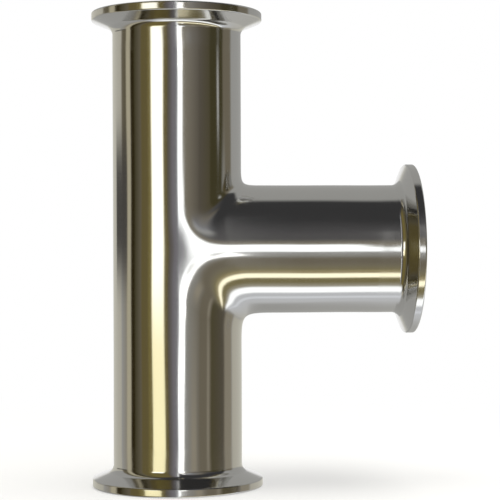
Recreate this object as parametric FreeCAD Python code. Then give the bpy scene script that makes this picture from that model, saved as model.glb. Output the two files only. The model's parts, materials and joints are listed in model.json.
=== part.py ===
import FreeCAD, Part
import math
import os

from FreeCAD import Vector

# Equal sanitary tee with clamp ferrules, in stainless steel, sizes in millimetres.
# It is welded from five pieces: a run tube with a collar pulled out of its side, a stub of tube on the
# collar, and a turned clamp ferrule on each of the three ends. The welds are flush inside and outside.
# The run stands along +Z with the centre of its lower face at the origin, and the branch points along +X.

# Tube
tube_diameter = 38.1
tube_wall = 1.65

# Reach of the tee, from where the axes cross to the ferrule faces
run_reach = 70.0
branch_reach = 70.5

# Collar pulled out of the run, from the run's outer surface to the weld
collar_height = 11.65

# Rounding between run and collar, outside: at the crotch above and below, and at the front and back
crotch_radius_above = 2.5
crotch_radius_below = 4.2
front_radius = 11.7

# Clamp ferrule
ferrule_length = 12.7
flange_overhang = 6.2
rim_thickness = 2.4
back_angle = 22.0
rim_edge_radius = 0.5
neck_fillet = 2.5

# Gasket groove in the ferrule's face
groove_from_rim = 3.5
groove_width = 3.2
groove_depth = 1.5
groove_corner_radius = 1.2

# How finely the curves of the rounding are worked out, in steps over half a turn of the tube
curve_steps = 72

tube_radius = tube_diameter / 2
bore_radius = tube_radius - tube_wall
collar_reach = tube_radius + collar_height
flange_radius = tube_radius + flange_overhang
body_half_length = run_reach - ferrule_length
stub_end = branch_reach - ferrule_length

X = Vector(1, 0, 0)
Z = Vector(0, 0, 1)
CENTRE = Vector(0, 0, run_reach)


def smooth_curve(points, parameters):
    """Smooth curve through points, which it passes at the given parameters."""
    curve = Part.BSplineCurve()
    curve.interpolate(Points=points, Parameters=parameters)
    return curve


def rounding(radius, crotch, front, side):
    """Rounding between two crossing tubes of one radius, above (side 1) or below (side -1) the branch.

    A cut across Y shows the two tubes as an upright and a level line that meet at a right angle. The
    rounding is a quarter circle in each such cut, of radius crotch in the middle cut and front in the
    outermost ones. Returns its face and its edges on the run and on the branch.
    """
    turns = [math.pi * step / curve_steps for step in range(curve_steps + 1)]
    on_run = []
    corner = []
    on_branch = []
    for turn in turns:
        size = crotch + (front - crotch) * math.cos(turn) ** 2
        out = radius * math.sin(turn)
        y = -radius * math.cos(turn)
        on_run.append(Vector(out, y, side * (out + size)))
        corner.append(Vector(out, y, side * out))
        on_branch.append(Vector(out + size, y, side * out))
    curves = [smooth_curve(points, turns) for points in (on_run, corner, on_branch)]
    poles = [list(row) for row in zip(*[curve.getPoles() for curve in curves])]
    lengthwise = curves[0]
    # Across, each row of three poles is a quarter circle, which is a rational curve of degree 2.
    arc_degree = 2
    arc_weights = [1, math.sqrt(0.5), 1]
    surface = Part.BSplineSurface()
    surface.buildFromPolesMultsKnots(
        poles,
        lengthwise.getMultiplicities(),
        [arc_degree + 1, arc_degree + 1],
        lengthwise.getKnots(),
        [0, 1],
        False,
        False,
        lengthwise.Degree,
        arc_degree,
        [arc_weights] * len(poles),
    )
    return surface.toShape(), curves[0].toShape(), curves[2].toShape()


def flat_patch(y, front):
    """Flat where the run, the branch and both roundings touch one plane across Y, and its run edge."""
    middle = front * (1 - math.sqrt(0.5))
    end = Vector(front, y, 0)
    run_edge = Part.LineSegment(Vector(0, y, -front), Vector(0, y, front)).toShape()
    above = Part.Arc(Vector(0, y, front), Vector(middle, y, middle), end).toShape()
    below = Part.Arc(Vector(0, y, -front), Vector(middle, y, -middle), end).toShape()
    return Part.Face(Part.Wire([run_edge, above, below])), run_edge


def tube_wall_face(cylinder):
    """The round face of a cylinder."""
    return next(face for face in cylinder.Faces if isinstance(face.Surface, Part.Cylinder))


def end_faces(cylinder):
    """The two flat faces of a cylinder."""
    return [face for face in cylinder.Faces if not isinstance(face.Surface, Part.Cylinder)]


def tee_solid(radius, half_length, reach, crotch_above, crotch_below, front):
    """Solid tee about the origin: a run along Z and a branch along +X, with rounded crotches."""
    above, run_above, branch_above = rounding(radius, crotch_above, front, 1)
    below, run_below, branch_below = rounding(radius, crotch_below, front, -1)
    near, near_edge = flat_patch(-radius, front)
    far, far_edge = flat_patch(radius, front)

    run = Part.makeCylinder(radius, 2 * half_length, Vector(0, 0, -half_length), Z)
    # Half a turn puts the seam of the run's round face at its back, away from the branch.
    run.rotate(Vector(0, 0, 0), Z, 180)
    branch = Part.makeCylinder(radius, reach, Vector(0, 0, 0), X)
    run_pieces, _ = tube_wall_face(run).generalFuse([run_above, run_below, near_edge, far_edge])
    branch_pieces, _ = tube_wall_face(branch).generalFuse([branch_above, branch_below])
    run_skin = min(run_pieces.Faces, key=lambda face: face.CenterOfMass.x)
    branch_skin = max(branch_pieces.Faces, key=lambda face: face.CenterOfMass.x)
    branch_end = max(end_faces(branch), key=lambda face: face.CenterOfMass.x)

    faces = [above, below, near, far, run_skin, branch_skin, branch_end]
    skin = Part.makeCompound(faces + end_faces(run))
    skin.sewShape()
    solid = Part.makeSolid(skin.Shells[0])
    if solid.Volume < 0:
        solid.reverse()
    return solid


def tee_body():
    """Run tube with the collar pulled out of its side, hollow all through."""
    outside = tee_solid(
        tube_radius,
        body_half_length,
        collar_reach,
        crotch_radius_above,
        crotch_radius_below,
        front_radius,
    )
    inside = tee_solid(
        bore_radius,
        run_reach,
        branch_reach,
        crotch_radius_above + tube_wall,
        crotch_radius_below + tube_wall,
        front_radius + tube_wall,
    )
    body = outside.cut(inside)
    body.translate(CENTRE)
    return body.Solids[0]


def branch_stub():
    """Plain tube between the collar and the branch ferrule."""
    start = CENTRE + X * collar_reach
    length = stub_end - collar_reach
    outside = Part.makeCylinder(tube_radius, length, start, X)
    return outside.cut(Part.makeCylinder(bore_radius, length, start, X))


def rounded_outline(corners):
    """Closed outline in the XZ plane through (x, z, rounding radius) corners."""
    points = [Vector(x, 0, z) for x, z, _ in corners]
    edges = []
    starts = []
    ends = []
    for number, point in enumerate(points):
        radius = corners[number][2]
        back = (points[number - 1] - point).normalize()
        ahead = (points[(number + 1) % len(points)] - point).normalize()
        half_angle = back.getAngle(ahead) / 2
        start = point + back * (radius / math.tan(half_angle))
        end = point + ahead * (radius / math.tan(half_angle))
        starts.append(start)
        ends.append(end)
        if radius > 0:
            inward = (back + ahead).normalize()
            middle = point + inward * (radius / math.sin(half_angle) - radius)
            edges.append(Part.Arc(start, middle, end).toShape())
    for number, end in enumerate(ends):
        edges.append(Part.LineSegment(end, starts[(number + 1) % len(starts)]).toShape())
    return Part.Wire(Part.sortEdges(edges)[0])


def ferrule(face_centre, inward):
    """Turned clamp ferrule, its grooved face at face_centre and its neck pointing inward."""
    cone_drop = flange_overhang * math.tan(math.radians(back_angle))
    groove_radius = flange_radius - groove_from_rim
    groove_inner = groove_radius - groove_width / 2
    groove_outer = groove_radius + groove_width / 2
    section = rounded_outline(
        [
            (bore_radius, 0, 0),
            (groove_inner, 0, 0),
            (groove_inner, groove_depth, groove_corner_radius),
            (groove_outer, groove_depth, groove_corner_radius),
            (groove_outer, 0, 0),
            (flange_radius, 0, rim_edge_radius),
            (flange_radius, rim_thickness, rim_edge_radius),
            (tube_radius, rim_thickness + cone_drop, neck_fillet),
            (tube_radius, ferrule_length, 0),
            (bore_radius, ferrule_length, 0),
        ]
    )
    ring = Part.Face(section).revolve(Vector(0, 0, 0), Z, 360)
    ring.Placement = FreeCAD.Placement(face_centre, FreeCAD.Rotation(Z, inward))
    return ring


pieces = {
    "tee_body": tee_body(),
    "branch_stub": branch_stub(),
    "run_ferrule_top": ferrule(CENTRE + Z * run_reach, -Z),
    "run_ferrule_bottom": ferrule(CENTRE - Z * run_reach, Z),
    "branch_ferrule": ferrule(CENTRE + X * branch_reach, -X),
}

os.makedirs("parts", exist_ok=True)
for name, shape in pieces.items():
    shape.exportStep("parts/" + name + ".step")
    print(name, "solids", len(shape.Solids), "valid", shape.isValid(), "volume", round(shape.Volume, 1))
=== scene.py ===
import json
import logging
import math
from dataclasses import dataclass
from enum import Enum

import bpy
import numpy as np
from mathutils import Matrix, Quaternion, Vector


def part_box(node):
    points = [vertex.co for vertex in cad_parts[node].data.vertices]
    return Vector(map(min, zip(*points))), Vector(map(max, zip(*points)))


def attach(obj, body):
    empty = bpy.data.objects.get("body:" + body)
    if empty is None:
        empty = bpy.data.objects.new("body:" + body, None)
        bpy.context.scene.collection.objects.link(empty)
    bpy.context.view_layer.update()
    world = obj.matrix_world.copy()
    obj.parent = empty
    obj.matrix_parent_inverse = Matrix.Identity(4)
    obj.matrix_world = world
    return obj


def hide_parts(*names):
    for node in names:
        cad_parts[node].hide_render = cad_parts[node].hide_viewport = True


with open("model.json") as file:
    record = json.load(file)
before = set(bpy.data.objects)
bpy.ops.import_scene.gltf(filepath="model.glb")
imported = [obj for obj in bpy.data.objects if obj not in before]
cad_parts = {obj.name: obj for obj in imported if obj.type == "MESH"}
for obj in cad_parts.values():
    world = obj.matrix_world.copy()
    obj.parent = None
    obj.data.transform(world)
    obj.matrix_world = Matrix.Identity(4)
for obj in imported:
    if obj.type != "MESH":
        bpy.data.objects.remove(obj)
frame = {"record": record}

# An equal sanitary tee in polished 304 stainless steel: a run tube with a collar pulled out of its side, a
# stub of tube on the collar, and a turned clamp ferrule on each of the three ends. Sizes are in millimetres
# and angles in degrees. The meshes are worked out about the point where the axes cross, and then lifted to
# the height at which the tee stands.
MM = 0.001
# Weight of a conic's corner that makes it a circle.
CIRCLE = math.sqrt(0.5)
# Points that agree to this many digits of a millimetre are one vertex.
JOIN_DIGITS = 4
# Directions: out along the branch, towards the front, and up along the run.
OUT = np.array([1.0, 0.0, 0.0])
FRONT = np.array([0.0, -1.0, 0.0])
UP = np.array([0.0, 0.0, 1.0])
# Elevation straight up.
POLE = 90.0
WHITE = "#FFFFFF"
# Colour inputs and output of a mix node, whose names its inputs and outputs for numbers have too.
MIX_A = 6
MIX_B = 7
MIXED = 2
SMOOTH = {"interpolation_type": "SMOOTHSTEP"}

Material = bpy.types.Material
Socket = bpy.types.NodeSocket
Tree = bpy.types.NodeTree

log = logging.getLogger("sanitary_tee")


def linear(code: str) -> tuple[float, float, float, float]:
    """Turn an sRGB hex colour to linear light.

    Args:
        code: The colour as "#RRGGBB".

    Returns:
        Red, green, blue and an alpha of 1.
    """
    channels = [int(code[place:place + 2], 16) / 255 for place in (1, 3, 5)]
    light = [c / 12.92 if c <= 0.04045 else ((c + 0.055) / 1.055) ** 2.4 for c in channels]
    return (light[0], light[1], light[2], 1.0)


def add_node(
    tree: Tree,
    kind: str,
    inputs: dict | None = None,
    **settings: object,
) -> bpy.types.bpy_prop_collection:
    """Add a shader node with its settings, and with its inputs set or linked.

    Args:
        tree: The node tree that gets the node.
        kind: The node's type after the words "ShaderNode", such as "Math".
        inputs: For each input, by name or number, a value or the output socket that feeds it.
        settings: Values of the node's own properties.

    Returns:
        The new node's outputs, to be picked by name or number.
    """
    node = tree.nodes.new("ShaderNode" + kind)
    for name, value in settings.items():
        setattr(node, name, value)
    for place, value in (inputs or {}).items():
        if isinstance(value, Socket):
            tree.links.new(value, node.inputs[place])
        else:
            node.inputs[place].default_value = value
    return node.outputs


@dataclass(frozen=True)
class TeeSizes:
    """The tee's sizes, read from the frame."""

    tube_radius: float
    bore_radius: float
    flange_radius: float
    run_reach: float
    branch_reach: float
    collar_reach: float
    stub_end: float
    ferrule_length: float

    @classmethod
    def from_frame(cls) -> "TeeSizes":
        """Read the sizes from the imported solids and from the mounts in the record.

        Returns:
            The sizes.
        """
        mounts = {mount["name"]: mount for mount in frame["record"]["mounts"]}
        bore = mounts["branch_bore"]
        stub_low, stub_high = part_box("branch_stub")
        ferrule_low, ferrule_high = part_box("run_ferrule_bottom")
        return cls(
            tube_radius=stub_high.y / MM,
            bore_radius=bore["dims"]["r_mm"],
            flange_radius=mounts["branch_rim"]["dims"]["r_mm"],
            run_reach=bore["pos_m"][2] / MM,
            branch_reach=bore["pos_m"][0] / MM,
            collar_reach=stub_low.x / MM,
            stub_end=stub_high.x / MM,
            ferrule_length=(ferrule_high.z - ferrule_low.z) / MM,
        )

    @property
    def body_half_length(self) -> float:
        """Half the length of the run tube, from the crossing of the axes to a ferrule's weld."""
        return self.run_reach - self.ferrule_length


class End(Enum):
    """The three ends of the tee, each with the direction that points out of it."""

    TOP = (0.0, 0.0, 1.0)
    BOTTOM = (0.0, 0.0, -1.0)
    BRANCH = (1.0, 0.0, 0.0)


class Surface(Enum):
    """Which finish a part of a piece's skin takes, as the number of its material on the mesh."""

    OUTSIDE = 0
    BORE = 1


@dataclass(frozen=True)
class Patch:
    """A grid of points on one smooth face, with the surface normal at each of them."""

    points: np.ndarray
    normals: np.ndarray
    surface: Surface = Surface.OUTSIDE


@dataclass(frozen=True)
class Skin:
    """Patches that together close one piece. They lie about a centre, which alone is in metres."""

    centre: Vector
    patches: list[Patch]

    def piece(self, name: str) -> bpy.types.Object:
        """Join the patches to one closed mesh that keeps their exact normals.

        Args:
            name: The name of the piece.

        Returns:
            The piece's object, linked to the scene.
        """
        numbers: dict[tuple[float, ...], int] = {}
        faces: list[list[int]] = []
        normals: list[tuple[float, ...]] = []
        surfaces: list[int] = []
        for patch in self.patches:
            rows, columns = patch.points.shape[:2]
            rounded = np.round(patch.points.reshape(-1, 3), JOIN_DIGITS) + 0.0
            joined = [numbers.setdefault(tuple(point), len(numbers)) for point in rounded.tolist()]
            flat_normals = patch.normals.reshape(-1, 3).tolist()
            places = np.arange(rows * columns).reshape(rows, columns)
            quads = np.stack([places[:-1, :-1], places[1:, :-1], places[1:, 1:], places[:-1, 1:]], axis=-1)
            down = patch.points[1:, 1:] - patch.points[:-1, :-1]
            across = patch.points[:-1, 1:] - patch.points[1:, :-1]
            if (np.cross(down, across) * patch.normals[:-1, :-1]).sum() < 0:
                quads = quads[:, :, ::-1]
            for quad in quads.reshape(-1, 4).tolist():
                corners = {joined[place]: flat_normals[place] for place in quad}
                if len(corners) > 2:
                    faces.append(list(corners))
                    normals.extend(corners.values())
                    surfaces.append(patch.surface.value)
        mesh = bpy.data.meshes.new(name)
        mesh.from_pydata([Vector(point) * MM + self.centre for point in numbers], [], faces)
        mesh.polygons.foreach_set("material_index", surfaces)
        mesh.shade_smooth()
        mesh.normals_split_custom_set(normals)
        mesh.update()
        piece = bpy.data.objects.new(name, mesh)
        bpy.context.scene.collection.objects.link(piece)
        log.info("%s: %d faces", name, len(faces))
        return piece


def ease(low: float, high: float, value: np.ndarray) -> np.ndarray:
    """Go smoothly from 0 to 1 as a value goes from low to high.

    Args:
        low: Where it leaves 0.
        high: Where it reaches 1.
        value: The values.

    Returns:
        A share from 0 to 1 for each value.
    """
    share = np.clip((value - low) / (high - low), 0.0, 1.0)
    return share * share * (3.0 - 2.0 * share)


@dataclass(frozen=True)
class Wave:
    """A shallow wave that the belt left, with the way along each axis in which it turns by one radian."""

    up: float
    out: float
    across: float
    start: float


@dataclass(frozen=True)
class Relief:
    """How far the polished outside stands off the exact tube: a crown over the branch, and belt waves."""

    sizes: TeeSizes
    crown_height: float = 0.15
    crown_start: float = -5.0
    crown_top: float = 4.0
    crown_end: float = 15.0
    crown_middle: float = 0.2
    crown_half_width: float = 16.0
    crown_sharpness: float = 5.0
    # Distance from the plane of the axes at which the crown begins, and at which it has its full height.
    crown_side: tuple[float, float] = (6.0, 16.0)
    wave_height: float = 0.016
    waves: tuple[Wave, ...] = (
        Wave(up=9.5, out=4.1, across=math.inf, start=0.6),
        Wave(up=17.0, out=-5.3, across=7.0, start=2.1),
        Wave(up=math.inf, out=8.0, across=3.6, start=-0.4),
    )
    # Distance from a ferrule's face up to which there is no relief, and from which there is all of it.
    face_margin: tuple[float, float] = (7.0, 12.0)
    probe: float = 0.02

    def height(self, points: np.ndarray) -> np.ndarray:
        """Height of the relief above the exact surface.

        Args:
            points: Points on the exact surface, about the crossing of the axes.

        Returns:
            The height in millimetres at each point.
        """
        x, y, z = points[..., 0], points[..., 1], points[..., 2]
        top = self.crown_top
        out = self.sloped(self.crown_start, top, x) - self.sloped(top, self.crown_end, x)
        width = np.clip((z - self.crown_middle) / self.crown_half_width, -1.0, 1.0)
        height = self.crown_height * out * np.cos(width * math.pi / 2) ** self.crown_sharpness
        height = height * ease(*self.crown_side, np.abs(y))
        turns = [z / wave.up + x / wave.out + y / wave.across + wave.start for wave in self.waves]
        height = height + self.wave_height * sum(np.sin(turn) for turn in turns)
        for to_face in (self.sizes.run_reach - np.abs(z), self.sizes.branch_reach - x):
            height = height * ease(*self.face_margin, to_face)
        return height

    @staticmethod
    def sloped(low: float, high: float, value: np.ndarray) -> np.ndarray:
        """Rise from 0 to 1 between two values, with the slope gathered in the middle."""
        share = np.clip((value - low) / (high - low), 0.0, 1.0)
        return share - np.sin(2 * math.pi * share) / (2 * math.pi)

    def shaped(self, patch: Patch) -> Patch:
        """Raise a patch of the exact surface by the relief.

        Args:
            patch: The exact patch.

        Returns:
            The raised patch, with normals that lean as its slope does.
        """
        height = self.height(patch.points)
        slopes = []
        for step in np.eye(3) * self.probe:
            change = self.height(patch.points + step) - self.height(patch.points - step)
            slopes.append(change / (2 * self.probe))
        slope = np.stack(slopes, axis=-1)
        slope = slope - patch.normals * (slope * patch.normals).sum(axis=-1, keepdims=True)
        normals = patch.normals - slope
        normals = normals / np.linalg.norm(normals, axis=-1, keepdims=True)
        return Patch(patch.points + patch.normals * height[..., None], normals, patch.surface)


@dataclass(frozen=True)
class Rounding:
    """How the run's wall runs into the collar's: tightly in the crotch, and widely at the front and back.

    A cut across Y shows the two walls as an upright and a level line. A conic joins them. Where it turns,
    it is as near the corner as a circle of the stated radius, and the tighter it is, the longer its tails.
    """

    crotch: float
    front: float
    falloff: float = 2.0
    crotch_tightness: float = CIRCLE
    front_tightness: float = CIRCLE
    tightness_falloff: int = 4

    def tightness(self, turn: np.ndarray) -> np.ndarray:
        """Weight of the conic's corner at a turn round the tube."""
        change = self.front_tightness - self.crotch_tightness
        return self.crotch_tightness + change * np.cos(turn) ** self.tightness_falloff

    def tail(self, turn: np.ndarray) -> np.ndarray:
        """Distance from the corner to the conic's ends at a turn round the tube."""
        radius = self.crotch + (self.front - self.crotch) * np.abs(np.cos(turn)) ** self.falloff
        return radius * (1 + self.tightness(turn)) / (1 + CIRCLE)

    def shares(self, turn: np.ndarray, step: np.ndarray) -> tuple[np.ndarray, np.ndarray]:
        """Place on the conic.

        Args:
            turn: Turn round the tube.
            step: From 0 on the run to 1 on the collar.

        Returns:
            How far the place lies from the corner along the run and along the collar, as shares of the tail.
        """
        on_run = (1 - step) ** 2
        on_collar = step**2
        whole = on_run + 2 * self.tightness(turn) * step * (1 - step) + on_collar
        return on_run / whole, on_collar / whole


@dataclass(frozen=True)
class Rows:
    """How many rows of faces a tube's wall gets: on a straight, round a corner and on the collar."""

    straight: int
    corner: int
    collar: int


@dataclass(frozen=True)
class TeeWall:
    """One wall of the body, outside or bore: run and collar at one radius, with a rounding between them."""

    sizes: TeeSizes
    radius: float
    # Both roundings are the same at the front and back, where they meet.
    above: Rounding
    below: Rounding
    rows: Rows
    half_turn_steps: int = 128
    flat_steps: int = 14
    probe: float = 0.0001

    def rib_points(self, rounding: Rounding, turn: np.ndarray, place: np.ndarray) -> np.ndarray:
        """Points of the wall above the branch, from the run's end round the crotch to the collar's end.

        Args:
            rounding: Rounding between run and collar.
            turn: Turn round the tube, from the front over the branch's side to the back.
            place: From 0 at the run's end, 1 and 2 at the rounding's ends, to 3 at the collar's end.

        Returns:
            The points.
        """
        out = self.radius * np.sin(turn)
        tail = rounding.tail(turn)
        end = self.sizes.body_half_length
        on_run, on_collar = rounding.shares(turn, np.clip(place - 1, 0.0, 1.0))
        straight = np.clip(place, 0.0, 1.0)
        collar = np.clip(place - 2, 0.0, 1.0)
        x = out + tail * on_collar + collar * (self.sizes.collar_reach - out - tail)
        z = np.where(place < 1, end + straight * (out + tail - end), out + tail * on_run)
        return np.stack([x, -self.radius * np.cos(turn) + 0.0 * x, z], axis=-1)

    def rib_patch(self, rounding: Rounding, side: int) -> Patch:
        """Wall from an end of the run, round the crotch and out along the collar.

        Args:
            rounding: Rounding between run and collar.
            side: 1 above the branch and -1 below it.

        Returns:
            The patch, with normals that point away from the axes.
        """
        turn = np.linspace(0.0, math.pi, self.half_turn_steps + 1)
        place = np.concatenate(
            [
                np.linspace(0.0, 1.0, self.rows.straight + 1),
                np.linspace(1.0, 2.0, self.rows.corner + 1)[1:],
                np.linspace(2.0, 3.0, self.rows.collar + 1)[1:],
            ]
        )[:, None]
        turn = turn + 0.0 * place
        place = place + 0.0 * turn
        step = self.probe
        across = self.rib_points(rounding, turn + step, place) - self.rib_points(rounding, turn - step, place)
        along = self.rib_points(rounding, turn, place + step) - self.rib_points(rounding, turn, place - step)
        normals = np.cross(along, across)
        normals = normals / np.linalg.norm(normals, axis=-1, keepdims=True)
        mirror = np.array([1.0, 1.0, side])
        return Patch(self.rib_points(rounding, turn, place) * mirror, normals * mirror)

    def middle_rows(self) -> tuple[np.ndarray, np.ndarray]:
        """Work out the flat between both roundings, from its top to its foot.

        Returns:
            The height of each row, and how far it reaches from the run towards the branch.
        """
        front = np.zeros(self.rows.corner + 1)
        on_run, on_collar = self.above.shares(front, np.linspace(0.0, 1.0, self.rows.corner + 1))
        height = self.above.tail(front) * on_run
        width = self.above.tail(front) * on_collar
        return np.concatenate([height, -height[-2::-1]]), np.concatenate([width, width[-2::-1]])

    def flat_patch(self, face: int) -> Patch:
        """Flat where the run, the branch and both roundings touch one plane, at the front or the back.

        Args:
            face: -1 at the front and 1 at the back.

        Returns:
            The patch.
        """
        height, width = self.middle_rows()
        share = np.linspace(0.0, 1.0, self.flat_steps + 1)
        x = width[:, None] * share
        z = height[:, None] + 0.0 * share
        points = np.stack([x, face * self.radius + 0.0 * x, z], axis=-1)
        return Patch(points, np.array([0.0, face, 0.0]) + 0.0 * points)

    def back_patch(self) -> Patch:
        """Half of the run's wall that faces away from the branch, from end to end.

        Returns:
            The patch.
        """
        turn = np.linspace(0.0, math.pi, self.half_turn_steps + 1)
        middle, _ = self.middle_rows()
        upper = np.linspace(self.sizes.body_half_length, middle[0], self.rows.straight + 1)
        z = np.concatenate([upper[:-1], middle, -upper[-2::-1]])[:, None]
        round_x = -np.sin(turn) + 0.0 * z
        round_y = -np.cos(turn) + 0.0 * z
        points = np.stack([self.radius * round_x, self.radius * round_y, z + 0.0 * turn], axis=-1)
        return Patch(points, np.stack([round_x, round_y, 0.0 * round_x], axis=-1))

    def patches(self) -> list[Patch]:
        """Build the whole wall.

        Returns:
            Its patches: above and below the branch, the flats at the front and back, and the back.
        """
        return [
            self.rib_patch(self.above, 1),
            self.rib_patch(self.below, -1),
            self.flat_patch(-1),
            self.flat_patch(1),
            self.back_patch(),
        ]


@dataclass(frozen=True)
class PulledTee:
    """The run tube whose side was pulled out to a collar, with rounded crotches, open at three ends."""

    sizes: TeeSizes
    relief: Relief
    centre: Vector
    polished_above: Rounding = Rounding(2.5, 11.2, falloff=20.0, crotch_tightness=2.4, front_tightness=1.0)
    polished_below: Rounding = Rounding(4.2, 11.2, falloff=6.0, crotch_tightness=2.4, front_tightness=1.0)
    drawn_above: Rounding = Rounding(4.15, 13.35)
    drawn_below: Rounding = Rounding(5.85, 13.35)
    outside_rows: Rows = Rows(40, 44, 12)
    bore_rows: Rows = Rows(12, 12, 6)

    def build(self) -> bpy.types.Object:
        """Build the body.

        Returns:
            Its piece.
        """
        sizes = self.sizes
        polished = (self.polished_above, self.polished_below, self.outside_rows)
        drawn = (self.drawn_above, self.drawn_below, self.bore_rows)
        outside = TeeWall(sizes, sizes.tube_radius, *polished).patches()
        outside = [self.relief.shaped(patch) for patch in outside]
        bore = TeeWall(sizes, sizes.bore_radius, *drawn).patches()
        patches = outside + [Patch(patch.points, -patch.normals, Surface.BORE) for patch in bore]
        # Rings close the wall at the two ends of the run and at the end of the collar.
        above, below, back = 0, 1, 4
        for number, row, end in (
            (above, 0, End.TOP),
            (below, 0, End.BOTTOM),
            (back, 0, End.TOP),
            (back, -1, End.BOTTOM),
            (above, -1, End.BRANCH),
            (below, -1, End.BRANCH),
        ):
            points = np.stack([outside[number].points[row], bore[number].points[row]])
            patches.append(Patch(points, np.array(end.value) + 0.0 * points))
        return Skin(self.centre, patches).piece("pulled_tee")


def ring_directions(first: np.ndarray, second: np.ndarray, steps: int) -> np.ndarray:
    """Unit directions all round an axis, closed by repeating the first.

    Args:
        first: Direction of the first point, across the axis.
        second: Direction a quarter turn on.
        steps: Number of steps in a full turn.

    Returns:
        One direction a row.
    """
    turn = np.linspace(0.0, 2 * math.pi, steps + 1)[:, None]
    return np.cos(turn) * first + np.sin(turn) * second


@dataclass(frozen=True)
class BranchStub:
    """The plain length of tube between the collar and the branch's ferrule."""

    sizes: TeeSizes
    relief: Relief
    centre: Vector
    turn_steps: int = 256
    outside_rows: int = 28

    def build(self) -> bpy.types.Object:
        """Build the stub.

        Returns:
            Its piece.
        """
        around = ring_directions(FRONT, UP, self.turn_steps)
        start, end = self.sizes.collar_reach, self.sizes.stub_end
        lengths = np.linspace(start, end, self.outside_rows + 1)[:, None, None]
        points = lengths * OUT + self.sizes.tube_radius * around
        outside = self.relief.shaped(Patch(points, around + 0.0 * points))
        lengths = lengths[:: self.outside_rows]
        points = lengths * OUT + self.sizes.bore_radius * around
        bore = Patch(points, -around + 0.0 * points, Surface.BORE)
        patches = [outside, bore]
        for row, facing in ((0, -OUT), (-1, OUT)):
            points = np.stack([outside.points[row], bore.points[row]])
            patches.append(Patch(points, facing + 0.0 * points))
        return Skin(self.centre, patches).piece("branch_tube")


@dataclass(frozen=True)
class Corner:
    """A corner of the ferrule's section: its radius, its distance from the face and its rounding."""

    radius: float
    depth: float
    rounding: float = 0.0
    steps: int = 4


@dataclass(frozen=True)
class ClampFerrule:
    """A clamp ferrule turned from bar: grooved face, square rim, sloped back, and a neck to be welded on."""

    sizes: TeeSizes
    relief: Relief
    centre: Vector
    end: End
    rim_thickness: float = 2.4
    back_angle: float = 22.0
    rim_edge: float = 0.5
    neck_fillet: float = 2.5
    groove_from_rim: float = 3.5
    groove_width: float = 3.2
    groove_depth: float = 1.5
    groove_rounding: float = 1.2
    broken_edge: float = 0.15
    # How near a point comes to the bore, or to the neck's outside or end, when it belongs to them.
    near: float = 0.01
    turn_steps: int = 256
    neck_rows: int = 9

    def section(self) -> list[Corner]:
        """Lay out the section.

        Returns:
            Its corners, from the bore's edge on the face round to the neck's end.
        """
        sizes = self.sizes
        overhang = sizes.flange_radius - sizes.tube_radius
        drop = overhang * math.tan(math.radians(self.back_angle))
        groove = sizes.flange_radius - self.groove_from_rim
        inner = groove - self.groove_width / 2
        outer = groove + self.groove_width / 2
        return [
            Corner(sizes.bore_radius, 0.0, self.broken_edge),
            Corner(inner, 0.0, self.broken_edge),
            Corner(inner, self.groove_depth, self.groove_rounding, steps=8),
            Corner(outer, self.groove_depth, self.groove_rounding, steps=8),
            Corner(outer, 0.0, self.broken_edge),
            Corner(sizes.flange_radius, 0.0, self.rim_edge, steps=8),
            Corner(sizes.flange_radius, self.rim_thickness, self.rim_edge, steps=8),
            Corner(sizes.tube_radius, self.rim_thickness + drop, self.neck_fillet, steps=10),
            Corner(sizes.tube_radius, sizes.ferrule_length),
            Corner(sizes.bore_radius, sizes.ferrule_length),
        ]

    def strips(self) -> list[tuple[np.ndarray, np.ndarray]]:
        """Work out the section's straights and roundings.

        Returns:
            For each of them its points, as radius and depth, and the normals that point out of the steel.
        """
        corners = self.section()
        places = [np.array([corner.radius, corner.depth]) for corner in corners]
        strips = []
        starts = []
        ends = []
        for number, corner in enumerate(corners):
            before = places[number] - places[number - 1]
            after = places[(number + 1) % len(places)] - places[number]
            before = before / np.linalg.norm(before)
            after = after / np.linalg.norm(after)
            turn = math.atan2(before[0] * after[1] - before[1] * after[0], float(before @ after))
            cut = corner.rounding * math.tan(abs(turn) / 2)
            starts.append(places[number] - before * cut)
            ends.append(places[number] + after * cut)
            if corner.rounding > 0:
                first = math.atan2(-before[0], before[1])
                angles = first + turn * np.linspace(0.0, 1.0, corner.steps + 1)
                normals = np.stack([np.cos(angles), np.sin(angles)], axis=-1)
                bulge = math.copysign(corner.rounding, turn)
                middle = starts[-1] - bulge * normals[0]
                strips.append((middle + bulge * normals, normals))
        for number, end in enumerate(ends):
            start = starts[(number + 1) % len(starts)]
            way = (start - end) / np.linalg.norm(start - end)
            rows = self.neck_rows if corners[number].rounding == self.neck_fillet else 1
            points = end + np.linspace(0.0, 1.0, rows + 1)[:, None] * (start - end)
            strips.append((points, np.array([way[1], -way[0]]) + 0.0 * points))
        return strips

    def build(self, name: str) -> bpy.types.Object:
        """Build the ferrule on its end of the tee.

        Args:
            name: The name of the piece.

        Returns:
            The piece.
        """
        outward = np.array(self.end.value)
        reach = self.sizes.branch_reach if self.end is End.BRANCH else self.sizes.run_reach
        around = ring_directions(FRONT, UP if self.end is End.BRANCH else OUT, self.turn_steps)
        patches = []
        neck_end = around
        for points, normals in self.strips():
            radius, depth = points[:, 0, None, None], points[:, 1, None, None]
            patch = Patch(
                radius * around + (reach - depth) * outward,
                normals[:, 0, None, None] * around - normals[:, 1, None, None] * outward,
                Surface.BORE if points[:, 0].max() < self.sizes.bore_radius + self.near else Surface.OUTSIDE,
            )
            # The outside takes the relief, and the ring that is welded on starts where its neck then ends.
            if points[:, 1].min() > self.sizes.ferrule_length - self.near:
                patch = Patch(np.stack([neck_end, patch.points[-1]]), patch.normals)
            elif points[:, 0].min() > self.sizes.tube_radius - self.near:
                patch = self.relief.shaped(patch)
                neck_end = patch.points[-1]
            patches.append(patch)
        return Skin(self.centre, patches).piece(name)


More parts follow.
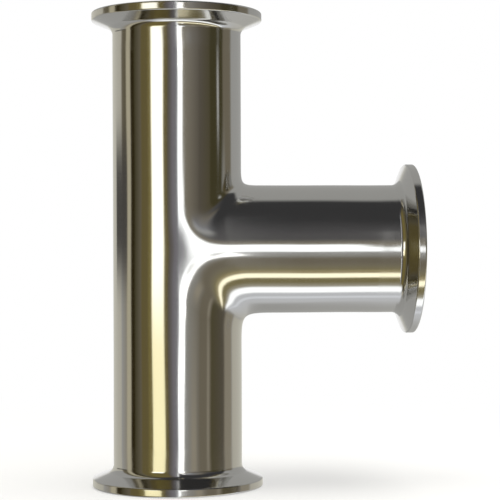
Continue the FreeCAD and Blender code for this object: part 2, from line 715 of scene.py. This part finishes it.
@dataclass(frozen=True)
class HandBlend:
    """The stretch either side of the miter between run and collar that was blended by hand."""

    reach: float = 14.0
    extra_roughness: float = 0.015
    # The wheel's scratches are a few hundredths of a millimetre, too fine to show, and drawn 0.5 mm apart.
    scratch_size: float = 0.5
    scratch_depth: float = 0.0015


@dataclass(frozen=True)
class BareSteel:
    """Bare 304 stainless steel with cloudy gloss, and with fine lines round its own tube.

    The miter between the run and the branch parts the lines round one from the lines round the other.
    """

    name: str
    steel: str
    roughness: float
    roughness_spread: float
    cloud_size: float
    line_spacing: float
    line_depth: float
    # Share of the light that bare metal mirrors, where the rest is scattered.
    metallic: float = 1.0
    hand_blend: HandBlend | None = None
    miter_half_width: float = 3.0
    sway_length: float = 12.0
    # What the clouds' and the lines' noise add up to, at the brightest and at the dullest.
    noise_range: tuple[float, float] = (0.6, 1.4)

    def material(self, crossing: float) -> Material:
        """Build the finish.

        Args:
            crossing: Height in metres at which the tee's axes cross.

        Returns:
            Its material.
        """
        material = bpy.data.materials.new(self.name)
        material.use_nodes = True
        tree = material.node_tree
        shader = tree.nodes["Principled BSDF"]
        shader.inputs["Base Color"].default_value = linear(self.steel)
        shader.inputs["Metallic"].default_value = self.metallic
        place = add_node(tree, "NewGeometry")["Position"]
        clouds = add_node(tree, "TexNoise", {"Vector": place, "Scale": 1 / (self.cloud_size * MM)})["Fac"]
        parts = add_node(tree, "SeparateXYZ", {0: place})
        height = add_node(tree, "Math", {0: parts["Z"], 1: crossing}, operation="SUBTRACT")[0]
        rise = add_node(tree, "Math", {0: height}, operation="ABSOLUTE")[0]
        side = add_node(tree, "Math", {0: parts["X"], 1: rise}, operation="SUBTRACT")[0]
        reach = self.miter_half_width * MM
        miter = {"Value": side, "From Min": -reach, "From Max": reach}
        on_branch = add_node(tree, "MapRange", miter, **SMOOTH)[0]
        along = add_node(tree, "Mix", {"Factor": on_branch, "A": height, "B": parts["X"]})["Result"]
        sway = add_node(tree, "TexNoise", {"Vector": place, "Scale": 1 / (self.sway_length * MM)})["Fac"]
        spacing = self.line_spacing * MM
        swayed = add_node(tree, "Math", {0: sway, 1: spacing, 2: along}, operation="MULTIPLY_ADD")[0]
        lines = {"W": swayed, "Scale": 1 / spacing, "Detail": 1.0}
        marks = add_node(tree, "TexNoise", lines, noise_dimensions="1D")["Fac"]
        noise = add_node(tree, "Math", {0: clouds, 1: marks}, operation="ADD")[0]
        limits = {
            "Value": noise,
            "From Min": self.noise_range[0],
            "From Max": self.noise_range[1],
            "To Min": self.roughness - self.roughness_spread,
            "To Max": self.roughness + self.roughness_spread,
        }
        roughness = add_node(tree, "MapRange", limits)[0]
        if self.hand_blend:
            hand = self.hand_blend
            off_miter = add_node(tree, "Math", {0: side}, operation="ABSOLUTE")[0]
            fade = {"Value": off_miter, "From Max": hand.reach * MM, "To Min": 1.0, "To Max": 0.0}
            blended = add_node(tree, "MapRange", fade, **SMOOTH)[0]
            dulled = {0: blended, 1: hand.extra_roughness, 2: roughness}
            roughness = add_node(tree, "Math", dulled, operation="MULTIPLY_ADD")[0]
            scratches = add_node(tree, "TexNoise", {"Vector": place, "Scale": 1 / (hand.scratch_size * MM)})
            there = add_node(tree, "Math", {0: blended, 1: scratches["Fac"]}, operation="MULTIPLY")[0]
            scratched = {0: there, 1: hand.scratch_depth / self.line_depth, 2: marks}
            marks = add_node(tree, "Math", scratched, operation="MULTIPLY_ADD")[0]
        tree.links.new(roughness, shader.inputs["Roughness"])
        bump = add_node(tree, "Bump", {"Distance": self.line_depth * MM, "Height": marks})
        tree.links.new(bump["Normal"], shader.inputs["Normal"])
        return material


@dataclass(frozen=True)
class BeltPolishedTube(BareSteel):
    """304 stainless tube, ground with fine belts that run round it and then buffed.

    It gives the eye a bright, nearly mirror steel: reflected edges stay sharp but are softened by a hair,
    and a raking look finds faint lines round the tube. Where the run meets the collar a belt can't reach, so
    that was blended by hand with a flap wheel, and reflected edges are fuzzier there.
    """

    name: str = "belt_polished_304"
    steel: str = "#CECDCA"
    roughness: float = 0.1
    roughness_spread: float = 0.02
    # Cloudy patches where the buff dwelt longer.
    cloud_size: float = 14.0
    # The belt's lines are 0.05 to 0.1 mm apart, too fine to show, so they are drawn about 0.4 mm apart.
    line_spacing: float = 0.4
    line_depth: float = 0.0006
    hand_blend: HandBlend | None = HandBlend()


@dataclass(frozen=True)
class TurnedFerrule(BareSteel):
    """304 stainless bar, turned on a lathe and polished as it spun.

    It gives the eye a bright steel with fine rings around the axis, a little duller than the tube.
    """

    name: str = "turned_304"
    steel: str = "#CECDCA"
    roughness: float = 0.12
    roughness_spread: float = 0.03
    cloud_size: float = 9.0
    # The tool's feed is 0.1 mm a turn, drawn as rings 0.3 mm apart.
    line_spacing: float = 0.3
    line_depth: float = 0.001


@dataclass(frozen=True)
class DrawnBore(BareSteel):
    """Inside of welded 304 tube, drawn over a mandrel and pickled.

    It gives the eye a satin steel with soft draw lines, clearly duller than the outside. The etched grain
    scatters some light, so that it is a little less of a mirror than plain metal.
    """

    name: str = "drawn_304_bore"
    steel: str = "#D6D5D2"
    roughness: float = 0.36
    roughness_spread: float = 0.06
    cloud_size: float = 11.0
    # Draw lines are about 0.1 mm apart, drawn 0.5 mm apart.
    line_spacing: float = 0.5
    line_depth: float = 0.0008
    metallic: float = 0.8


class Tone(Enum):
    """The papers, cloths and panes of the tent, each with the colour that the steel shows of it."""

    COOL_CLOTH = "#FAFDFF"
    DAY_PANE = "#FFFEF4"
    CREAM_PANE = "#FFF8DA"
    GOLDEN_PANE = "#FCF3C4"
    PEARL = "#CBCED4"
    SILVER = "#B4B6BA"
    PALE_STONE = "#B2B1A9"
    STONE = "#A19E93"
    BEIGE = "#A09A86"
    ASH = "#8D8D8B"
    TAUPE = "#7E786B"
    SMOKE = "#77787C"
    SLATE = "#656267"
    KHAKI = "#8A8060"
    SAND = "#706849"
    AMBER = "#6B6138"
    OLIVE = "#5B5234"
    UMBER = "#645E51"
    BROWN = "#4E4941"
    MOSS = "#47422F"
    DARK_MOSS = "#3A3623"
    SOOT = "#261F0E"
    GRAPHITE = "#4A494A"
    SHADE = "#3F3D3B"
    CHARCOAL = "#323233"


@dataclass(frozen=True)
class Card:
    """A card of the light tent, from one angle of its sweep to another.

    An angle of 0 is straight in front. Angles grow to the right in the sweep round the standing run, and
    upwards in the sweep over the lying branch. A card may shade into another tone at its end, stop at an
    elevation, or lean. Each card overlaps the one before it.
    """

    start: float
    end: float
    tone: Tone
    end_tone: Tone | None = None
    soft: float = 0.7
    lowest: float = -POLE
    highest: float = POLE
    lean: float = 0.0
    gain: float = 1.0

    def glow(self, tone: Tone) -> tuple[float, ...]:
        """Light of one of the card's tones."""
        return tuple(part * self.gain for part in linear(tone.value))


@dataclass(frozen=True)
class LightTent:
    """The tent of white, grey and warm cards round the tee, which its steel mirrors."""

    # The steel returns 0.61 of what it mirrors, so the cards glow that much more than they look.
    steel_return: float = 0.61
    back: Tone = Tone.ASH
    # Elevations at which the sweep over takes the place of the sweep around, to the right and to the left.
    hand_over_right: tuple[float, float] = (8.0, 18.0)
    hand_over_left: tuple[float, float] = (58.0, 72.0)
    # Angles around at which the right side begins and ends.
    right_begins: tuple[float, float] = (0.5, 2.5)
    right_ends: tuple[float, float] = (150.0, 178.0)
    # Angles from straight behind at which the white backdrop begins, and at which it is whole.
    backdrop: tuple[float, float] = (17.0, 11.0)
    cards_around: tuple[Card, ...] = (
        # Behind the tee and down its left side.
        Card(-181, -115, Tone.PALE_STONE, Tone.STONE, lowest=-12, highest=12, soft=1.5),
        Card(-117, -98, Tone.UMBER, Tone.MOSS, soft=2),
        Card(-120, -100, Tone.ASH, Tone.TAUPE, highest=0, soft=2),
        Card(-103, -88, Tone.BEIGE, soft=1.5),
        Card(-139, -101, Tone.SHADE, lowest=-0.8, highest=3.8, soft=1.3),
        Card(-91.5, -81, Tone.SOOT, soft=1.2),
        Card(-83, -64, Tone.DARK_MOSS, Tone.UMBER, soft=1.2),
        Card(-68, -51, Tone.OLIVE, soft=1.2),
        # Warm window in its amber frame.
        Card(-54, -14, Tone.AMBER, Tone.OLIVE, soft=1),
        Card(-47.3, -25.0, Tone.GOLDEN_PANE, lowest=-11, highest=10, lean=0.17),
        Card(-46.2, -25.6, Tone.DAY_PANE, soft=1.2, lowest=-2, highest=10, lean=0.17, gain=1.3),
        # Front, left and right of the lamp.
        Card(-18, -8, Tone.BROWN, Tone.SLATE, soft=1.5),
        Card(-11, 5, Tone.SLATE, Tone.SMOKE),
        Card(1, 41, Tone.TAUPE, Tone.BROWN),
        Card(1, 41, Tone.ASH, Tone.UMBER, highest=-1),
        Card(22, 32, Tone.TAUPE, soft=3, highest=-5, gain=1.15),
        Card(38, 64, Tone.BROWN, Tone.MOSS),
        Card(38, 64, Tone.UMBER, highest=-1),
        Card(52, 56.5, Tone.TAUPE, soft=1, highest=-2.4),
        # Right side.
        Card(60, 91, Tone.DARK_MOSS, soft=2),
        Card(60, 91, Tone.MOSS, Tone.BROWN, highest=0, soft=2),
        Card(75.2, 79.8, Tone.ASH, lowest=4, highest=7.2, gain=1.3),
        Card(89, 116, Tone.UMBER, soft=2),
        Card(86, 94, Tone.ASH, soft=2, lowest=-0.5, highest=2.6),
        Card(91, 118, Tone.TAUPE, soft=2, lowest=-11, highest=0),
        Card(111, 181, Tone.ASH, soft=3),
        Card(112, 181, Tone.STONE, Tone.PALE_STONE, soft=3, lowest=-12, highest=0),
    )
    cards_over: tuple[Card, ...] = (
        # Overhead, from behind to the front.
        Card(96, 181, Tone.ASH, soft=3),
        Card(46, 96, Tone.CHARCOAL, soft=5),
        Card(23, 52, Tone.GRAPHITE, Tone.CHARCOAL, soft=1.5),
        Card(1, 26, Tone.GRAPHITE),
        # Underneath, from the front to behind, with a warm and a cool lamp below the branch.
        Card(-42, 5, Tone.SAND, Tone.SMOKE),
        Card(-29, -12, Tone.UMBER, soft=7),
        Card(-53, -38, Tone.KHAKI),
        Card(-63, -50, Tone.SAND),
        Card(-74, -61, Tone.STONE, Tone.SAND),
        Card(-52.6, -44.2, Tone.CREAM_PANE, gain=1.15),
        Card(-96, -80, Tone.SILVER, soft=1.5),
        Card(-84.5, -71.8, Tone.COOL_CLOTH, soft=1.8, gain=1.1),
        Card(-102, -94, Tone.PEARL, soft=1.5),
        Card(-181, -99, Tone.STONE, Tone.SILVER, soft=1.5),
    )
    # Two soft hazes, and the lamps that show as the white strip, ahead of both sweeps.
    front_cards: tuple[Card, ...] = (
        Card(18, 47, Tone.SMOKE, Tone.UMBER, lowest=12, highest=36, soft=9),
        Card(12.8, 23, Tone.ASH, Tone.SMOKE, lowest=10.5, highest=30, soft=3.5, gain=1.15),
        Card(0.9, 9.2, Tone.COOL_CLOTH, lowest=-4.6, highest=7.4, lean=0.22, gain=1.4),
        Card(8.5, 11.5, Tone.COOL_CLOTH, lowest=-4.6, highest=2.5, gain=1.3),
        Card(-0.8, 2.4, Tone.COOL_CLOTH, lowest=-14, highest=-4, gain=1.4),
        Card(-2, 0.2, Tone.COOL_CLOTH, lowest=8.5, highest=60),
        Card(-2, 1.5, Tone.COOL_CLOTH, lowest=-60, highest=-16),
    )

    def build(self) -> None:
        """Build the tent as the world that the steel mirrors."""
        world = bpy.data.worlds.new("light_tent")
        world.use_nodes = True
        bpy.context.scene.world = world
        tree = world.node_tree
        tree.nodes.clear()
        parts = add_node(tree, "SeparateXYZ", {0: add_node(tree, "TexCoord")["Generated"]})
        front = add_node(tree, "Math", {0: parts["Y"], 1: -1.0}, operation="MULTIPLY")[0]
        turns = [
            add_node(tree, "Math", {0: parts["X"], 1: front}, operation="ARCTAN2")[0],
            add_node(tree, "Math", {0: parts["Z"], 1: front}, operation="ARCTAN2")[0],
            add_node(tree, "Math", {0: parts["Z"]}, operation="ARCSINE")[0],
        ]
        around, over, elevation = (
            add_node(tree, "Math", {0: turn, 1: math.degrees(1.0)}, operation="MULTIPLY")[0] for turn in turns
        )
        back = linear(self.back.value)
        shades = {
            "Factor": self.over_share(tree, around, elevation),
            MIX_A: self.hang(tree, self.cards_around, around, elevation, back),
            MIX_B: self.hang(tree, self.cards_over, over, elevation, back),
        }
        inside = add_node(tree, "Mix", shades, data_type="RGBA")[MIXED]
        inside = self.hang(tree, self.front_cards, around, elevation, inside)
        tent = add_node(tree, "Background", {"Color": inside, "Strength": 1 / self.steel_return})
        white = add_node(tree, "Background", {"Color": linear(WHITE)})
        clear = self.backdrop_share(tree, parts["Y"])
        mixed = add_node(tree, "MixShader", {0: clear, 1: tent[0], 2: white[0]})
        add_node(tree, "OutputWorld", {"Surface": mixed[0]})

    def over_share(self, tree: Tree, around: Socket, elevation: Socket) -> Socket:
        """Share of the sweep over: high and low on the right side, and near the poles on the left.

        Args:
            tree: The world's node tree.
            around: Angle around in degrees.
            elevation: Elevation in degrees.

        Returns:
            The share.
        """
        steepness = add_node(tree, "Math", {0: elevation}, operation="ABSOLUTE")[0]
        steps = []
        for value, (low, high) in (
            (steepness, self.hand_over_right),
            (steepness, self.hand_over_left),
            (around, self.right_begins),
            (around, self.right_ends),
        ):
            limits = {"Value": value, "From Min": low, "From Max": high}
            steps.append(add_node(tree, "MapRange", limits, **SMOOTH)[0])
        high_right, near_pole, past_front, past_back = steps
        right = add_node(tree, "Math", {0: past_front, 1: past_back}, operation="SUBTRACT")[0]
        part = add_node(tree, "Math", {0: right, 1: high_right}, operation="MULTIPLY")[0]
        return add_node(tree, "Math", {0: part, 1: near_pole}, operation="MAXIMUM")[0]

    def backdrop_share(self, tree: Tree, depth: Socket) -> Socket:
        """Share of the white backdrop: all of it to the camera, and behind the tee also to its steel.

        Args:
            tree: The world's node tree.
            depth: How far a direction points away behind the tee, from -1 to 1.

        Returns:
            The share.
        """
        light = add_node(tree, "LightPath")
        rays = {0: light["Is Glossy Ray"], 1: light["Is Transmission Ray"]}
        mirrored = add_node(tree, "Math", rays, operation="ADD", use_clamp=True)[0]
        wide, narrow = (math.cos(math.radians(angle)) for angle in self.backdrop)
        limits = {"Value": depth, "From Min": wide, "From Max": narrow}
        behind = add_node(tree, "MapRange", limits, **SMOOTH)[0]
        rays = {0: mirrored, 1: behind, 2: light["Is Camera Ray"]}
        return add_node(tree, "Math", rays, operation="MULTIPLY_ADD", use_clamp=True)[0]

    def band(self, tree: Tree, value: Socket, low: float, high: float, soft: float) -> Socket:
        """Share that is 1 between two values and fades to 0 beyond them.

        Args:
            tree: The world's node tree.
            value: The value that is compared.
            low: Lower value.
            high: Upper value.
            soft: Half the width of each fade.

        Returns:
            The share.
        """
        steps = []
        for edge in (low, high):
            fade = {"Value": value, "From Min": edge - soft, "From Max": edge + soft}
            steps.append(add_node(tree, "MapRange", fade, **SMOOTH)[0])
        return add_node(tree, "Math", {0: steps[0], 1: steps[1]}, operation="SUBTRACT")[0]

    def hang(
        self,
        tree: Tree,
        cards: tuple[Card, ...],
        angle: Socket,
        elevation: Socket,
        shown: Socket | tuple[float, ...],
    ) -> Socket:
        """Hang cards in front of what the tent shows so far, each in front of the one before it.

        Args:
            tree: The world's node tree.
            cards: The cards.
            angle: Angle in the cards' sweep, in degrees.
            elevation: Elevation in degrees.
            shown: Colour of what the cards cover.

        Returns:
            The colour with the cards in it.
        """
        for card in cards:
            turn = angle
            if card.lean:
                leaning = {0: elevation, 1: card.lean, 2: angle}
                turn = add_node(tree, "Math", leaning, operation="MULTIPLY_ADD")[0]
            share = self.band(tree, turn, card.start, card.end, card.soft)
            if card.lowest > -POLE or card.highest < POLE:
                level = self.band(tree, elevation, card.lowest, card.highest, card.soft)
                share = add_node(tree, "Math", {0: share, 1: level}, operation="MULTIPLY")[0]
            glow = card.glow(card.tone)
            if card.end_tone:
                limits = {"Value": turn, "From Min": card.start, "From Max": card.end}
                way = add_node(tree, "MapRange", limits)[0]
                shades = {"Factor": way, MIX_A: glow, MIX_B: card.glow(card.end_tone)}
                glow = add_node(tree, "Mix", shades, data_type="RGBA")[MIXED]
            covered = {"Factor": share, MIX_A: shown, MIX_B: glow}
            shown = add_node(tree, "Mix", covered, data_type="RGBA")[MIXED]
        return shown


@dataclass(frozen=True)
class Tabletop:
    """A pale round tabletop that keeps the tee's soft shadow and fades into the white behind it."""

    radius: float = 350.0
    drop: float = 0.1
    rings: int = 24
    steps: int = 96
    paint: str = "#E9E8E4"
    # How white it shows near the tee, and the distances from which it whitens and at which it is white.
    whiteness: float = 0.5
    whitens_from: float = 50.0
    white_from: float = 280.0

    def build(self) -> bpy.types.Object:
        """Build the tabletop.

        Returns:
            Its object.
        """
        around = ring_directions(OUT, -FRONT, self.steps)
        points = np.linspace(0.0, self.radius, self.rings + 1)[:, None, None] * around
        patch = Patch(points, UP + 0.0 * points)
        top = Skin(Vector((0.0, 0.0, -self.drop * MM)), [patch]).piece("tabletop")
        top.data.materials.append(self.material())
        return top

    def material(self) -> Material:
        """Build matt pale paint that whitens away from the tee.

        Returns:
            Its material.
        """
        material = bpy.data.materials.new("matt_pale_paint")
        material.use_nodes = True
        tree = material.node_tree
        tree.nodes.clear()
        place = add_node(tree, "NewGeometry")["Position"]
        distance = add_node(tree, "VectorMath", {0: place}, operation="LENGTH")["Value"]
        limits = {
            "Value": distance,
            "From Min": self.whitens_from * MM,
            "From Max": self.white_from * MM,
            "To Min": self.whiteness,
        }
        white_share = add_node(tree, "MapRange", limits, **SMOOTH)[0]
        light = add_node(tree, "LightPath")
        seen = light["Is Camera Ray"]
        for ray in ("Is Glossy Ray", "Is Transmission Ray"):
            seen = add_node(tree, "Math", {0: seen, 1: light[ray]}, operation="ADD", use_clamp=True)[0]
        share = add_node(tree, "Math", {0: white_share, 1: seen}, operation="MULTIPLY")[0]
        paint = add_node(tree, "BsdfDiffuse", {"Color": linear(self.paint)})[0]
        white = add_node(tree, "Emission", {"Color": linear(WHITE)})[0]
        top = add_node(tree, "MixShader", {0: share, 1: paint, 2: white})[0]
        # The steel looks past the tabletop to the tent, whose foot is as pale.
        nothing = add_node(tree, "BsdfTransparent")[0]
        surface = add_node(tree, "MixShader", {0: light["Is Glossy Ray"], 1: top, 2: nothing})[0]
        add_node(tree, "OutputMaterial", {"Surface": surface})
        return material


@dataclass(frozen=True)
class SoftLamp:
    """A flat lamp that the steel doesn't show, unless it is asked to.

    Its way is where it faces, and its lean is how far its top is turned to the left.
    """

    name: str
    place: tuple[float, float, float]
    width: float
    height: float
    watts: float
    way: tuple[float, float, float] = (0.0, 1.0, 0.0)
    in_steel: bool = False
    spread: float = 180.0
    lean: float = 0.0

    def build(self) -> None:
        """Hang the lamp."""
        light = bpy.data.lights.new(self.name, "AREA")
        light.shape = "RECTANGLE"
        light.size = self.width * MM
        light.size_y = self.height * MM
        light.energy = self.watts
        light.spread = math.radians(self.spread)
        lamp = bpy.data.objects.new(self.name, light)
        facing = Vector(self.way).to_track_quat("-Z", "Y")
        leaning = Quaternion((0.0, 0.0, 1.0), math.radians(self.lean))
        lamp.rotation_euler = (facing @ leaning).to_euler()
        lamp.location = Vector(self.place) * MM
        lamp.visible_glossy = self.in_steel
        lamp.visible_camera = False
        bpy.context.scene.collection.objects.link(lamp)


@dataclass(frozen=True)
class StripLamp(SoftLamp):
    """A small lamp in front that the steel shows as part of the white strip."""

    in_steel: bool = True
    spread: float = 60.0


@dataclass(frozen=True)
class Viewpoint:
    """The camera, level with the branch and a little to the left of the run."""

    place: tuple[float, float, float] = (-10.72, -463.4, 70.0)
    turn_right: float = 3.99925
    tilt_down: float = 0.03438
    roll: float = -0.19481
    lens: float = 112.15
    sensor: float = 36.0
    nearest: float = 10.0

    def build(self) -> None:
        """Set up the camera and make it the scene's own."""
        camera = bpy.data.cameras.new("camera")
        camera.lens = self.lens
        camera.sensor_width = self.sensor
        camera.clip_start = self.nearest * MM
        viewer = bpy.data.objects.new("camera", camera)
        turn = Matrix.Rotation(math.radians(-self.turn_right), 4, "Z")
        tilt = Matrix.Rotation(math.radians(90.0 - self.tilt_down), 4, "X")
        roll = Matrix.Rotation(math.radians(self.roll), 4, "Z")
        viewer.matrix_world = Matrix.Translation(Vector(self.place) * MM) @ turn @ tilt @ roll
        bpy.context.scene.collection.objects.link(viewer)
        bpy.context.scene.camera = viewer


def hand_over_piece(piece: bpy.types.Object, node: str, finishes: list[Material]) -> None:
    """Dress a piece and let it stand for its CAD node.

    Args:
        piece: The piece.
        node: The CAD node that it replaces.
        finishes: Its materials, outside first and then the bore.
    """
    for finish in finishes:
        piece.data.materials.append(finish)
    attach(piece, "root")
    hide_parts(node)
    log.info("%s stands for %s", piece.name, node)


def main() -> None:
    """Build the tee, its finishes, and the tent, tabletop, lamps and camera around it."""
    logging.basicConfig(level=logging.INFO, format="%(name)s: %(message)s")
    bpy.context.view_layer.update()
    bpy.context.scene.view_settings.view_transform = "Standard"

    sizes = TeeSizes.from_frame()
    relief = Relief(sizes)
    centre = Vector((0.0, 0.0, sizes.run_reach * MM))
    polished = BeltPolishedTube().material(centre.z)
    turned = TurnedFerrule().material(centre.z)
    bore = DrawnBore().material(centre.z)

    hand_over_piece(PulledTee(sizes, relief, centre).build(), "tee_body", [polished, bore])
    stub = BranchStub(sizes, relief, centre).build()
    hand_over_piece(stub, "branch_stub", [polished, bore])
    for end, node in (
        (End.TOP, "run_ferrule_top"),
        (End.BOTTOM, "run_ferrule_bottom"),
        (End.BRANCH, "branch_ferrule"),
    ):
        ferrule = ClampFerrule(sizes, relief, centre, end).build("clamp_" + node)
        hand_over_piece(ferrule, node, [turned, bore])

    LightTent().build()
    Tabletop().build()
    for lamp in (
        SoftLamp("overhead_lamp", (100, -100, 900), width=800, height=800, watts=12, way=(-100, 100, -900)),
        # The ends of the white strip that the steel shows, and its point at the junction.
        StripLamp("lower_strip", (10.1, -119, 13), width=15, height=46, watts=0.00058),
        StripLamp("upper_strip", (6.8, -119, 144), width=13.4, height=22, watts=0.00025),
        StripLamp(
            "junction_strip",
            (18.2, -119, 54.5),
            width=7.5,
            height=18,
            watts=0.00106,
            spread=180,
            lean=32,
        ),
    ):
        lamp.build()
    Viewpoint().build()


if __name__ == "__main__":
    main()
